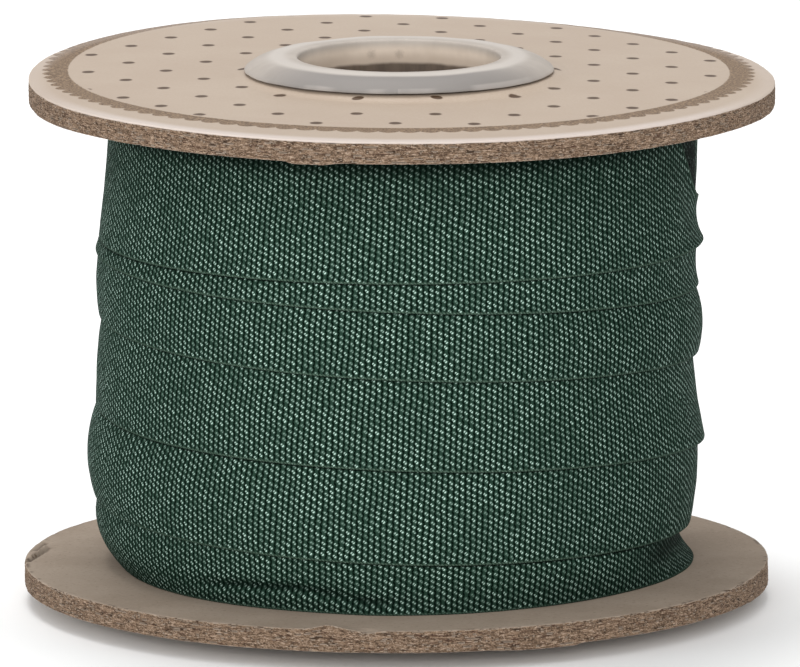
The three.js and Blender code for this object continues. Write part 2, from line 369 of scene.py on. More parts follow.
def lower_board(finishes):
    obj = turned("lower_board", board_outline(LOWER_THICKNESS, 0.16, 0.12), 180)
    places = points_of(obj)
    places, nicks = roughen_rim(places, 1)
    x, y, z = places.T
    wave = rim_wave(x, y)
    x, y = x * wave + LOWER_CENTRE[0], y * wave + LOWER_CENTRE[1]
    angle = round_angle(x, y)
    radius = np.hypot(x, y)
    topness = smoothstep(z, LOWER_THICKNESS * 0.5, LOWER_THICKNESS)
    rimward = smoothstep(radius, 30.6, 32.3)
    # A lip of fibres that the die raised at the front left, and the dip beside it
    lip = np.exp(-((angle + 10.9) / 2.4) ** 2) * 0.42 - np.exp(-((angle + 4.9) / 1.3) ** 2) * 0.22
    z = z + lip * topness * smoothstep(radius, 31.4, 32.4)
    # The swollen underside at the front right, ending in a small step, and a sag further round
    swell = smoothstep(angle, 12, 20) * (1 - smoothstep(angle, 27.5, 29)) * 0.16
    z = z - swell * (1 - topness) * rimward
    sag = smoothstep(angle, 62, 80) * (1 - smoothstep(angle, 96, 120)) * 0.22
    z = z - sag * (1 - topness) * rimward
    # A torn ply at the left of the rim: two splits with a lifted strip between them
    split_a, share_a = segment_distance(x, y, (-32.6, -0.9), (-30.7, 5.4))
    split_b, share_b = segment_distance(x, y, (-32.1, 3.4), (-31.1, 7.7))
    tear = np.maximum(
        (1 - smoothstep(split_a, 0.05, 0.34)) * (1 - 0.5 * share_a),
        (1 - smoothstep(split_b, 0.05, 0.3)) * (1 - 0.3 * share_b),
    )
    flap, _ = segment_distance(x, y, (-32.4, 1.5), (-31.3, 5.9))
    lifted = 1 - smoothstep(flap, 0.1, 0.5)
    z = z + topness * (0.16 * lifted - 0.24 * tear)
    # Board faces are never quite flat
    flat = np.column_stack((x, y, z))
    z = z + 0.02 * grain(flat, (6, 6, 6), 7, 2) * (radius < 32.2)
    z = z + LOWER_FACE
    set_points(obj, np.column_stack((x, y, z)))
    set_attribute(obj, "nick", np.maximum(nicks, tear * topness * 0.9))
    smooth(obj, 38)
    paint_board(obj, finishes)
    fit(obj, "greyboard", "lower_disc")


def paint_board(obj, finishes):
    """Faces of the board get the smooth liner, and the rim and hole the cut layers."""
    for finish in finishes:
        obj.data.materials.append(finish)
    normals = np.empty(3 * len(obj.data.polygons))
    obj.data.polygons.foreach_get("normal", normals)
    upright = np.abs(normals.reshape(-1, 3)[:, 2]) < 0.62
    obj.data.polygons.foreach_set("material_index", upright.astype(np.int32))


def upper_layer(places, depth):
    """Bends a flat layer to the upper disc's dome, lean, warp and lifted front rim."""
    x, y, z = places.T
    wave = rim_wave(-x, y)
    radius = np.hypot(x, y)
    lifted = 0.24 * smoothstep(radius, 26, 32.5) * smoothstep(-y / radius, 0.1, 0.8)
    height = upper_top(x, y) - depth + z + lifted
    return np.column_stack((x * wave + UPPER_CENTRE[0], y * wave + UPPER_CENTRE[1], height))


def upper_board(finishes):
    thickness = UPPER_STACK - PAPER
    obj = turned("upper_board", board_outline(thickness, 0.16, 0.1), 180)
    places = points_of(obj)
    places, nicks = roughen_rim(places, 11)
    x, y, z = places.T
    angle = round_angle(x, y)
    radius = np.hypot(x, y)
    under = 1 - smoothstep(z, 0, thickness * 0.6)
    rimward = smoothstep(radius, 29, 32.3)
    # The underside bulges at the front left, with a small step, and at the far left
    swell = smoothstep(angle, -18.4, -16.4) * (1 - smoothstep(angle, -12.5, -9))
    z = z - 0.2 * swell * under * smoothstep(radius, 28, 31.5)
    z = z - 0.12 * np.exp(-((angle + 78) / 16) ** 2) * under * rimward
    places = upper_layer(np.column_stack((x, y, z)), UPPER_STACK)
    set_points(obj, places)
    set_attribute(obj, "nick", nicks)
    smooth(obj, 38)
    paint_board(obj, finishes)
    fit(obj, "greyboard", "upper_disc")


def paper_rise(x, y):
    """How far the paper is drawn up round the tube, to just under its rolled end."""
    underside = ROLL_TOP - ROLL_DEPTH + LEAN[0] * 0.3 * x - ROLL_TILT * y - 0.01
    near = 1 - smoothstep(np.hypot(x, y), 13.2, 14.7)
    return np.maximum(underside - upper_top(x, y) - PAPER, 0) * near


def printed_paper():
    """The printed paper on the upper board, pressed down over the die-cut shoulder."""
    shoulder = 0.17
    edge = [
        (BOARD_RADIUS + 0.01 - shoulder + shoulder * math.sin(turn),
         PAPER - shoulder + shoulder * math.cos(turn))
        for turn in np.linspace(0, math.radians(74), 8)
    ]
    inner_edge = [(radius - 0.09, height - 0.07) for radius, height in reversed(edge)]
    radii = (
        BOARD_HOLE + 0.05, 11.4, 12.1, 12.5, 12.9, 13.3, 13.7, 14.1, 14.5, 14.9,
        15.5, 18, 21, 24, 26, 28, 29.5, 30.5, 31.3,
    )
    outline = (
        [(radius, PAPER) for radius in radii] + edge + inner_edge
        + [(radius, 0.004) for radius in reversed(radii)]
    )
    obj = turned("printed_paper", outline, 90)
    places = points_of(obj)
    x, y, z = places.T
    radius = np.hypot(x, y)
    rimward = smoothstep(radius, 31.9, 32.4)
    ragged = 0.035 * grain(places, (1.6, 1.6, 9), 21, 3)
    ragged = ragged + 0.02 * grain(places, (0.35, 0.35, 9), 22, 2)
    scale = 1 + ragged * rimward / radius
    z = z + rimward * 0.03 * grain(places, (2.2, 2.2, 9), 23, 2)
    z = z + paper_rise(x, y)
    places = upper_layer(np.column_stack((x * scale, y * scale, z)), PAPER)
    set_points(obj, places)
    smooth(obj, 50)
    obj.data.materials.append(paper_finish())
    fit(obj, "facing_paper", "facing_paper")


# Tube

def curve_through(places, count):
    """Even Catmull-Rom curve through a few places."""
    places = np.array([places[0]] + list(places) + [places[-1]], dtype=float)
    spans = len(places) - 3
    drawn = []
    for step in range(count + 1):
        at = min(step / count * spans, spans - 1e-9)
        span = int(at)
        t = at - span
        p0, p1, p2, p3 = places[span:span + 4]
        drawn.append(tuple(0.5 * (
            2 * p1 + (p2 - p0) * t + (2 * p0 - 5 * p1 + 4 * p2 - p3) * t * t
            + (3 * p1 - p0 - 3 * p2 + p3) * t ** 3
        )))
    return drawn


def rolled_end():
    """Half section of a rolled end, as heights from its top: up the bore, over, down and under."""
    ridge = (9.9, ROLL_RIDGE)
    bore_side = curve_through(
        [(BORE, -3.4), (BORE, -1.2), (BORE, -0.4), (8.9, -0.1), (9.15, 0.0), ridge], 16
    )
    slope = curve_through(
        [ridge, (10.7, 0), (11.35, -0.08), (12.05, -0.27), (12.65, -0.54), (13.1, -0.83),
         (13.38, -1.04), (13.48, -1.18), (13.44, -1.25), (13.0, -ROLL_DEPTH), (12.2, -ROLL_DEPTH)],
        24,
    )
    return bore_side + slope[1:]


def core_tube():
    upper = [(radius, ROLL_TOP + up) for radius, up in rolled_end()]
    lower = [(radius, ROLL_RIDGE - up) for radius, up in rolled_end()]
    wall = [(BORE + 0.3, height) for height in np.linspace(4, ROLL_TOP - 4, 26)]
    outside = [(TUBE_WALL, height) for height in np.linspace(ROLL_TOP - ROLL_DEPTH, ROLL_DEPTH, 8)]
    outline = wall + upper + outside + lower[::-1]
    obj = turned("dressed_core_tube", [tuple(map(float, point)) for point in outline], 60, 5)
    places = points_of(obj)
    x, y, z = places.T
    radius = np.hypot(x, y)
    angle = round_angle(x, y)
    share = smoothstep(z, UPPER_TOP / 2, UPPER_TOP)
    lift = share * (LEAN[0] * 0.3 * x - ROLL_TILT * y)
    # Shallow spiral seams of the wound paper inside, and small lumps in the upper rolled end
    inside = (radius < 9.6) & (z > LOWER_FACE) & (z < UPPER_TOP)
    spiral = np.mod(z - angle / 360 * 24, 12) - 6
    groove = np.exp(-(spiral / 0.25) ** 2) * 0.06 * inside
    flange = smoothstep(radius, 9.4, 10.5) * (z > UPPER_TOP)
    lumps = 0.05 * grain(places, (4, 4, 4), 31, 2) * flange
    outer = smoothstep(radius, 12.3, 13.3) * (z > UPPER_TOP)
    ragged = 0.05 * grain(places, (2.5, 2.5, 30), 32, 3) * outer
    scale = 1 + (groove + ragged) / radius
    z = z + lift + lumps
    set_points(obj, np.column_stack((x * scale + 0.1 * share, y * scale, z)))
    smooth(obj)
    obj.data.materials.append(tube_finish())
    fit(obj, "tube_paper", "core_tube")


# Ribbon

def along(angle, column):
    """A column of the wrap table at any angle, as a smooth curve through its rows."""
    end = next((row for row in range(1, len(WRAPS)) if WRAPS[row][ANGLE] > angle), len(WRAPS) - 1)
    rows = [WRAPS[min(max(row, 0), len(WRAPS) - 1)] for row in (end - 2, end - 1, end, end + 1)]
    before, start, stop, after = rows
    width = stop[ANGLE] - start[ANGLE]
    slope_in = (stop[column] - before[column]) / (stop[ANGLE] - before[ANGLE]) * width
    slope_out = (after[column] - start[column]) / (after[ANGLE] - start[ANGLE]) * width
    t = min(max((angle - start[ANGLE]) / width, 0), 1)
    rise = stop[column] - start[column]
    bend = slope_in * (1 - t) ** 2 * t - slope_out * (1 - t) * t ** 2
    return start[column] + rise * (3 * t * t - 2 * t ** 3) + bend


class Winding:
    """The wrap table read once for every degree, then looked up."""

    def __init__(self):
        self.first = -1130
        self.angles = range(self.first, 1801)
        self.columns = {
            column: [along(angle, column) for angle in self.angles]
            for column in (EDGE, UPPER, MIDDLE, LOWER)
        }

    def read(self, angle, column):
        values = self.columns[column]
        at = angle - self.first
        step = int(at)
        return values[step] + (values[step + 1] - values[step]) * (at - step)

    def ceiling(self, angle):
        """Underside of the upper board over the wound ribbon."""
        x = WOUND_RADIUS * math.sin(math.radians(angle)) - UPPER_CENTRE[0]
        y = -WOUND_RADIUS * math.cos(math.radians(angle)) - UPPER_CENTRE[1]
        return float(upper_top(x, y)) - UPPER_STACK - 0.05

    def edge(self, angle):
        """Lower edge of a wrap, which rests on the lower board where the table runs below it."""
        return max(self.read(angle, EDGE), DISC_TOP + CLEARANCE)

    def cover(self, angle):
        """Height above which a wrap lies under the one wound over it."""
        above = angle - 360
        top = self.ceiling(angle)
        return top if above < TAIL_TOP else min(self.edge(above), top)

    def bowed(self, angle, share):
        """Radius at a share of the way down a wrap, on a curve through its three radii."""
        share = min(max(share, 0), 1)
        return (
            self.read(angle, UPPER) * (1 - share) * (1 - 2 * share)
            + self.read(angle, MIDDLE) * 4 * share * (1 - share)
            + self.read(angle, LOWER) * share * (2 * share - 1)
        )

    def face(self, angle, height):
        """Radius of a wrap's outer face, tucked in where the wrap above covers it."""
        cover, edge = self.cover(angle), self.edge(angle)
        share = (cover - height) / max(cover - edge, 0.3)
        radius = self.bowed(angle, share)
        if angle - 360 >= TAIL_TIP - 10 and height > cover - 0.6:
            lid = self.face(angle - 360, max(height, cover)) - RIBBON_THICKNESS - WRAP_GAP
            lid += 1 - float(smoothstep(angle - 360, TAIL_TIP - 10, TAIL_TIP))
            radius = min(radius, lid + max(cover - height, 0) * 1.2)
        return radius


def ribbon_face(winding, angle, height):
    """Outer face with the photo's crease low at the front left and its slight unevenness."""
    radius = winding.face(angle, height)
    if 1388 < angle < 1446:
        fade, above = crease_at(angle, height)
        radius -= 0.42 * fade * math.exp(-(above / 0.32) ** 2)
        radius += 0.2 * fade * math.exp(-((above + 0.9) / 0.5) ** 2)
    return radius


def crease_at(angle, height):
    """How strong the crease is at an angle, and how far a height lies above it."""
    fade = float(smoothstep(angle, 1390, 1406) * (1 - smoothstep(angle, 1432, 1446)))
    return fade, height - float(np.interp(angle, *CREASE))


def fold_shade(angle, height):
    """Share of painted shade in the crease, in the tuck low at the right and along the foot."""
    fade, above = crease_at(angle, height)
    crease = 0.85 * fade * math.exp(-(above / 0.3) ** 2)
    tucked = float(smoothstep(angle, 1484, 1508) * (1 - smoothstep(angle, 1550, 1600)))
    tuck = 0.75 * tucked * math.exp(-((height - 6.1) / 1.4) ** 2)
    foot = 0.32 * (1 - float(smoothstep(height, 3.6, 7.5)))
    return max(crease, tuck, foot)


def strip(name, angles, low_of, high_of, face_of, winding):
    """A length of ribbon as a thin closed sheet, with a map in millimetres of its weave."""
    shares = np.concatenate((
        [0, 0.05, 0.14, 0.28, 0.5],
        np.arange(0.8, 3.3, 0.27),
        np.linspace(3.6, RIBBON_WIDTH - 0.3, 16),
        [RIBBON_WIDTH - 0.12, RIBBON_WIDTH],
    )) / RIBBON_WIDTH
    rounding = [0.08, 0.03] + [0] * (len(shares) - 4) + [0.03, 0.08]
    places, weave = [], []
    marks = {"from_top_edge": [], "below_wrap": [], "below_board": [], "painted_fold_shade": []}
    for angle in angles:
        cover, ceiling = winding.cover(angle), winding.ceiling(angle)
        low, high = low_of(angle), high_of(angle)
        width = high - low
        turn = math.radians(angle)
        outward = (math.sin(turn), -math.cos(turn))
        section = []
        for share in shares:
            height = low + share * width
            section.append((height, face_of(angle, height), share * width))
        rounded = list(zip(section, rounding))
        outer = [(height, radius - inset, v) for (height, radius, v), inset in rounded]
        inner = [
            (height, radius - RIBBON_THICKNESS + inset, v)
            for (height, radius, v), inset in rounded[::3] + rounded[-1:]
        ]
        for height, radius, v in outer + inner[::-1]:
            places.append((outward[0] * radius, outward[1] * radius, height))
            weave.append((turn * WOUND_RADIUS, v))
            marks["from_top_edge"].append(width - v)
            marks["below_wrap"].append(cover - height)
            marks["below_board"].append(ceiling - height)
            marks["painted_fold_shade"].append(fold_shade(angle, height))
    count = len(places) // len(angles)
    faces = []
    for column in range(len(angles) - 1):
        here, there = column * count, (column + 1) * count
        for row in range(count):
            after = (row + 1) % count
            faces.append((here + row, there + row, there + after, here + after))
    faces.append(tuple(range(count)))
    faces.append(tuple(range((len(angles) - 1) * count, len(angles) * count))[::-1])
    mesh = bpy.data.meshes.new(name)
    places = np.array(places)
    wobble = 0.05 * grain(places, (7, 7, 3.5), 41, 2)
    wobble = wobble + 0.022 * grain(places, (2.2, 2.2, 1.2), 42, 1)
    radius = np.hypot(places[:, 0], places[:, 1])
    places[:, :2] *= (1 + wobble / radius)[:, None]
    mesh.from_pydata((places * MM).tolist(), [], faces)
    mesh.update()
    map_weave(mesh, weave)
    obj = bpy.data.objects.new(name, mesh)
    bpy.context.scene.collection.objects.link(obj)
    for mark, values in marks.items():
        set_attribute(obj, mark, values)
    pick(obj)
    bpy.ops.object.mode_set(mode="EDIT")
    bpy.ops.mesh.select_all(action="SELECT")
    bpy.ops.mesh.normals_make_consistent(inside=False)
    bpy.ops.object.mode_set(mode="OBJECT")
    smooth(obj)
    return obj


def wound_ribbon():
    winding = Winding()
    finish = ribbon_finish()

    # The inner turns, all hidden, as one turned body under the visible wraps
    outline = (
        [(radius, DISC_TOP + CLEARANCE) for radius in (10.4, 14, 18, 23.2)]
        + [(23.3, 5.5), (23.9, 7.5), (24.0, 9)]
        + [(24.0, height) for height in np.linspace(12, 42, 8)]
        + [(23.9, 43.4), (18, 43.55), (14, 43.6), (10.4, 43.6)]
        + [(10.4, height) for height in (30, 17)]
    )
    inner = turned("inner_turns", outline, 60, 2)
    x, y, z = points_of(inner).T
    tilt = smoothstep(z, 20, 44) * (LEAN[0] * x + LEAN[1] * y)
    set_points(inner, np.column_stack((x, y, z + tilt)))
    map_round(inner)
    inner.data.materials.append(finish)
    smooth(inner, 40)
    fit(inner, "ribbon", "wound_ribbon")

    def helix_low(angle):
        return winding.edge(max(angle, HELIX_SHOWS)) + (0.12 if angle < HELIX_SHOWS else 0)

    def helix_high(angle):
        return min(helix_low(angle) + RIBBON_WIDTH, winding.ceiling(angle) - CLEARANCE)

    def helix_face(angle, height):
        radius = ribbon_face(winding, angle, height)
        if angle < HELIX_SHOWS + 2:
            radius = min(radius, winding.face(angle, height) - RIBBON_THICKNESS - WRAP_GAP)
        return radius

    angles = np.arange(HELIX_START, HELIX_END + 0.1, 1.25)
    helix = strip("helix_wraps", angles, helix_low, helix_high, helix_face, winding)
    helix.data.materials.append(finish)
    fit(helix, "ribbon")

    def turn_low(angle):
        return winding.edge(angle) if angle >= TAIL_TIP else winding.edge(TAIL_TIP) - 0.1

    def turn_high(angle):
        if angle > -330:
            return max(winding.cover(angle), turn_low(angle) + 0.12)
        return winding.ceiling(angle)

    def turn_face(angle, height):
        if angle >= TAIL_TIP:
            return winding.face(angle, height)
        over = winding.face(angle + 360, height) - RIBBON_THICKNESS - WRAP_GAP
        if angle < TAIL_TOP:
            return over
        slant = winding.edge(angle)
        share = (winding.ceiling(angle) - height) / max(winding.ceiling(angle) - slant, 0.3)
        seen = winding.bowed(angle, share)
        return min(seen, over + 0.5 * float(smoothstep(height, slant, slant + 1.5)))

    angles = np.arange(TURN_START, TURN_END + 0.1, 1.0)
    turn = strip("top_turn", angles, turn_low, turn_high, turn_face, winding)
    turn.data.materials.append(finish)
    fit(turn, "ribbon")


def map_weave(mesh, places):
    """The weave's map: millimetres along and across the ribbon at each point of a mesh."""
    layer = mesh.uv_layers.new(name="weave")
    corners = np.empty(len(mesh.loops), dtype=np.int32)
    mesh.loops.foreach_get("vertex_index", corners)
    layer.data.foreach_set("uv", np.array(places, dtype=np.float32)[corners].ravel())


def map_round(obj):
    """Map and marks of the weave on a turned body, as if all of it lay well clear of an edge."""
    x, y, z = points_of(obj).T
    map_weave(obj.data, np.column_stack((np.arctan2(x, -y) * WOUND_RADIUS, z)))
    for mark in ("from_top_edge", "below_wrap", "below_board"):
        set_attribute(obj, mark, np.full(len(x), 6.0))
    set_attribute(obj, "painted_fold_shade", np.zeros(len(x)))


# Finishes

class Nodes:
    """Short ways to add and join the nodes of one material."""

    def __init__(self, name):
        self.material = bpy.data.materials.new(name)
        self.material.use_nodes = True
        self.tree = self.material.node_tree
        self.shader = self.tree.nodes["Principled BSDF"]

    def add(self, kind, inputs=None, **settings):
        node = self.tree.nodes.new(kind)
        for name, value in settings.items():
            setattr(node, name, value)
        for name, value in (inputs or {}).items():
            self.feed(node.inputs[name], value)
        return node

    def feed(self, socket, value):
        if isinstance(value, bpy.types.NodeSocket):
            self.tree.links.new(value, socket)
        else:
            socket.default_value = value

    def math(self, operation, *values):
        node = self.add("ShaderNodeMath", operation=operation)
        for socket, value in zip(node.inputs, values):
            self.feed(socket, value)
        return node.outputs[0]

    def plus(self, first, second):
        return self.math("ADD", first, second)

    def minus(self, first, second):
        return self.math("SUBTRACT", first, second)

    def times(self, first, second):
        return self.math("MULTIPLY", first, second)

    def length(self, across, up):
        return self.math("SQRT", self.plus(self.times(across, across), self.times(up, up)))

    def ramp(self, value, low, high, to_low=0.0, to_high=1.0):
        node = self.add("ShaderNodeMapRange", {
            "Value": value, "From Min": low, "From Max": high, "To Min": to_low, "To Max": to_high,
        }, interpolation_type="SMOOTHSTEP")
        return node.outputs[0]

    def mix(self, share, first, second):
        """Mixes two colours, which are the node's sockets 6, 7 and 2."""
        node = self.add("ShaderNodeMix", data_type="RGBA")
        self.feed(node.inputs[0], share)
        self.feed(node.inputs[6], first)
        self.feed(node.inputs[7], second)
        return node.outputs[2]

    def noise(self, vector, scale, detail, roughness, dimensions="3D"):
        node = self.add(
            "ShaderNodeTexNoise",
            {"Vector": vector, "Scale": scale, "Detail": detail, "Roughness": roughness},
            noise_dimensions=dimensions,
        )
        return node.outputs["Fac"]

    def object_millimetres(self, scale=(1, 1, 1), shift=(0, 0, 0)):
        coordinates = self.add("ShaderNodeTexCoord").outputs["Object"]
        mapping = self.add("ShaderNodeMapping", {
            "Vector": coordinates,
            "Location": tuple(-part for part in shift),
            "Scale": tuple(1000 * part for part in scale),
        })
        return mapping.outputs[0]

    def bump(self, height, distance, strength):
        node = self.add("ShaderNodeBump", {
            "Height": height, "Distance": distance * MM, "Strength": strength,
        })
        return node.outputs[0]

    def uniform(self, **values):
        for name, value in values.items():
            self.shader.inputs[name.replace("_", " ")].default_value = value


def linear(*srgb):
    """A colour given in screen values from 0 to 255."""
    parts = [part / 255 for part in srgb]
    return tuple(
        part / 12.92 if part <= 0.04045 else ((part + 0.055) / 1.055) ** 2.4 for part in parts
    ) + (1.0,)


def board_finish(name, cut):
    """Greyboard: its speckled face, or where it is cut, the layers and fibres of its edge."""
    n = Nodes(name)
    nick = n.add("ShaderNodeAttribute", attribute_name="nick").outputs["Fac"]
    if cut:
        layers = n.object_millimetres(scale=(0.6, 0.6, 5.5))
        streaks = n.noise(layers, 0.9, 4, 0.6)
        fibres = n.noise(n.object_millimetres(scale=(0.6, 0.6, 2.4)), 3.2, 3, 0.6)
        crumbs = n.noise(n.object_millimetres(scale=(0.8, 0.8, 1.8)), 8.0, 2, 0.5)
        dashes = n.noise(n.object_millimetres(scale=(0.3, 0.3, 3.4), shift=(4, 7, 2)), 2.6, 2, 0.5)
        colour = n.mix(n.ramp(streaks, 0.32, 0.68), linear(94, 75, 59), linear(132, 109, 89))
        colour = n.mix(n.ramp(fibres, 0.52, 0.7), colour, linear(166, 145, 126))
        colour = n.mix(n.ramp(fibres, 0.46, 0.32), colour, linear(58, 43, 32))
        colour = n.mix(n.ramp(crumbs, 0.54, 0.74, 0, 0.9), colour, linear(176, 155, 136))
        colour = n.mix(n.ramp(crumbs, 0.46, 0.28, 0, 0.9), colour, linear(44, 32, 23))
        colour = n.mix(n.ramp(dashes, 0.6, 0.68, 0, 0.85), colour, linear(62, 38, 28))
        # Darker where the rim is nicked or torn
        colour = n.mix(n.times(nick, 0.85), colour, linear(48, 34, 24))
        height = n.plus(n.times(streaks, 0.4), n.plus(fibres, crumbs))
        n.feed(n.shader.inputs["Normal"], n.bump(height, 0.09, 0.9))
    else:
        flat = n.object_millimetres()
        cloud = n.noise(flat, 0.16, 3, 0.55)
        speck = n.noise(flat, 2.6, 3, 0.65)
        fine = n.noise(flat, 7.0, 2, 0.6)
        colour = n.mix(n.ramp(cloud, 0.3, 0.7), linear(150, 135, 120), linear(160, 145, 130))
        colour = n.mix(n.ramp(speck, 0.56, 0.72, 0, 0.5), colour, linear(172, 157, 142))
        colour = n.mix(n.ramp(speck, 0.44, 0.3, 0, 0.6), colour, linear(126, 111, 97))
        # Darker where the rim is nicked or torn
        colour = n.mix(n.times(nick, 0.8), colour, linear(70, 55, 44))
        height = n.plus(n.times(speck, 0.6), n.times(fine, 0.4))
        n.feed(n.shader.inputs["Normal"], n.bump(height, 0.05, 0.6))
    n.feed(n.shader.inputs["Base Color"], colour)
    n.uniform(Roughness=0.9, Specular_IOR_Level=0.2)
    return n.material


def paper_finish():
    """Cream paper printed with small dots and a scalloped band, with a painted highlight on its
    margin towards the front.
    """
    n = Nodes("printed_facing_paper")
    centred = n.object_millimetres(shift=(UPPER_CENTRE[0], UPPER_CENTRE[1], 0))
    spot = n.add("ShaderNodeSeparateXYZ", {"Vector": centred})
    x, y = spot.outputs[0], spot.outputs[1]
    radius = n.length(x, y)
    flat = n.object_millimetres()

    # Dots in staggered rows
    tilt = -0.0148
    apart, between_rows = 6.78, 8.29
    turned_x = n.plus(n.times(x, math.cos(tilt)), n.times(y, math.sin(tilt)))
    turned_y = n.minus(n.times(y, math.cos(tilt)), n.times(x, math.sin(tilt)))
    across = n.math("DIVIDE", n.minus(turned_x, 3.21), apart)
    down = n.math("DIVIDE", n.minus(turned_y, -10.82), between_rows)
    near = None
    for half in (0, 0.5):
        du = n.times(n.minus(n.math("FRACT", n.plus(across, 0.5 + half)), 0.5), apart)
        dv = n.times(n.minus(n.math("FRACT", n.plus(down, 0.5 + half)), 0.5), between_rows)
        gap = n.length(du, dv)
        near = gap if near is None else n.math("MINIMUM", near, gap)
    ink_edge = n.noise(flat, 3.0, 2, 0.6)
    dot = n.ramp(n.plus(near, n.times(ink_edge, 0.16)), 0.74, 0.52)

    # They stay inside the band and off a bare strip in front of the tube
    band_x, band_y = n.plus(x, 0.2), n.plus(y, -3.5)
    band_radius = n.length(band_x, band_y)
    inside = n.ramp(band_radius, 28.7, 28.4)
    bare_x = n.math("LESS_THAN", n.math("ABSOLUTE", x), 7.9)
    bare_y = n.math("LESS_THAN", n.math("ABSOLUTE", n.minus(y, -14.6)), 1.6)
    dot = n.times(n.times(dot, inside), n.minus(1.0, n.times(bare_x, bare_y)))

    # Two dots close to the front of the rolled end, on the drawn-up paper
    for place in (-3.75, 3.05):
        gap = n.length(n.minus(x, place), n.times(n.minus(y, -13.4), 2.0))
        dot = n.math("MAXIMUM", dot, n.ramp(gap, 0.62, 0.44))

    # Scalloped band, printed off the middle so that it runs off the disc at the back
    scallops = 53
    wave = n.math("ABSOLUTE", n.math("SINE", n.times(n.math("ARCTAN2", band_x, band_y), scallops)))
    outer = n.plus(30.28, n.times(n.math("POWER", wave, 0.6), 0.85))
    reach = n.plus(band_radius, n.times(n.minus(ink_edge, 0.5), 0.25))
    band = n.times(n.ramp(n.minus(reach, outer), 0.06, -0.06), n.ramp(reach, 28.82, 28.94))
    speckle = n.noise(flat, 5.0, 3, 0.7)
    ink = n.mix(n.ramp(speckle, 0.38, 0.62), linear(84, 62, 40), linear(142, 118, 92))

    cloud = n.noise(flat, 0.12, 2, 0.5)
    tooth = n.noise(flat, 4.5, 3, 0.6)
    cream = n.mix(n.ramp(cloud, 0.3, 0.7), linear(174, 157, 141), linear(178, 162, 146))
    cream = n.mix(n.ramp(tooth, 0.3, 0.7, 0, 0.35), cream, linear(166, 147, 128))
    colour = n.mix(band, cream, ink)
    colour = n.mix(n.times(dot, 0.95), colour, linear(70, 48, 28))
    # Painted highlight: the margin is painted lighter towards the rim, most at the front
    painted_highlight = n.times(n.ramp(radius, 30.6, 32.0), n.ramp(y, -6.0, -25.0, 0.15, 0.5))
    colour = n.mix(painted_highlight, colour, linear(214, 205, 202))
    n.feed(n.shader.inputs["Base Color"], colour)
    n.feed(n.shader.inputs["Normal"], n.bump(tooth, 0.02, 0.3))
    n.uniform(Roughness=0.45, Specular_IOR_Level=0.14)
    return n.material


def tube_finish():
    """Grey rolled paper with a painted highlight on the ridge and painted shade on the front
    slope; inside, beige paper over a dark wall, darker board and painted shade.
    """
    n = Nodes("rolled_tube_paper")
    flat = n.object_millimetres()
    spot = n.add("ShaderNodeSeparateXYZ", {"Vector": flat})
    x, y, z = spot.outputs
    radius = n.length(x, y)
    polar = n.add("ShaderNodeCombineXYZ", {
        "X": n.times(n.math("ARCTAN2", x, y), 11),
        "Y": n.times(radius, 0.25),
        "Z": n.times(z, 0.25),
    }).outputs[0]
    streak = n.noise(polar, 1.1, 3, 0.6)
    cloud = n.noise(flat, 0.3, 3, 0.5)
    fine = n.noise(flat, 6.0, 2, 0.6)
    grey = n.mix(n.ramp(cloud, 0.35, 0.65), linear(168, 159, 150), linear(176, 167, 158))
    grey = n.mix(n.ramp(streak, 0.45, 0.7, 0, 0.2), grey, linear(150, 142, 134))
    # Painted highlight along the ridge
    painted_ridge_highlight = n.times(n.ramp(radius, 9.3, 10.3), n.ramp(radius, 11.9, 10.8))
    grey = n.mix(n.times(painted_ridge_highlight, 0.75), grey, linear(190, 183, 176))

    # Painted shade: the slope is painted a darker grey, deepest at the front
    slope = n.ramp(radius, 10.9, 11.6)
    front = n.ramp(y, -2.0, -11.0, 0.08, 1.0)
    grey = n.mix(n.times(slope, front), grey, linear(128, 123, 119))
    patchy = n.ramp(n.noise(polar, 0.25, 2, 0.5), 0.45, 0.6, 0, 0.6)
    grey = n.mix(n.times(n.ramp(radius, 13.05, 13.25), patchy), grey, linear(160, 153, 147))

    # Inside, beige paper curls over the dark wound wall; the paper is painted darker downwards,
    # and the wall is partly darker board, partly painted shade deep in the bore
    depth = n.ramp(z, 47.0, 47.95)
    mottle = n.times(n.minus(n.noise(flat, 0.5, 2, 0.5), 0.5), 0.3)
    deep = n.ramp(n.plus(z, mottle), 46.1, 45.75)
    inner = n.ramp(radius, 9.7, 9.2)
    beige = n.mix(n.ramp(cloud, 0.35, 0.65), linear(206, 190, 173), linear(220, 204, 187))
    beige = n.mix(n.ramp(z, 47.1, 46.3, 0, 0.45), beige, linear(182, 162, 143))
    colour = n.mix(n.times(inner, n.minus(1.0, depth)), grey, beige)
    wall = n.mix(n.ramp(streak, 0.3, 0.7), linear(96, 83, 72), linear(112, 97, 84))
    colour = n.mix(n.times(inner, deep), colour, wall)

    # Two smudges on the beige paper at the back
    for place in ((-2.3, 8.5, 46.75), (0.1, 8.8, 46.7)):
        away = n.add("ShaderNodeVectorMath", {0: flat, 1: place}, operation="DISTANCE")
        away = n.plus(away.outputs["Value"], n.times(fine, 0.5))
        colour = n.mix(n.ramp(away, 0.85, 0.3, 0, 0.3), colour, linear(110, 92, 78))
    n.feed(n.shader.inputs["Base Color"], colour)
    height = n.plus(n.times(streak, 0.7), n.times(fine, 0.3))
    n.feed(n.shader.inputs["Normal"], n.bump(height, 0.04, 0.5))
    n.uniform(Roughness=0.6, Specular_IOR_Level=0.35)
    return n.material


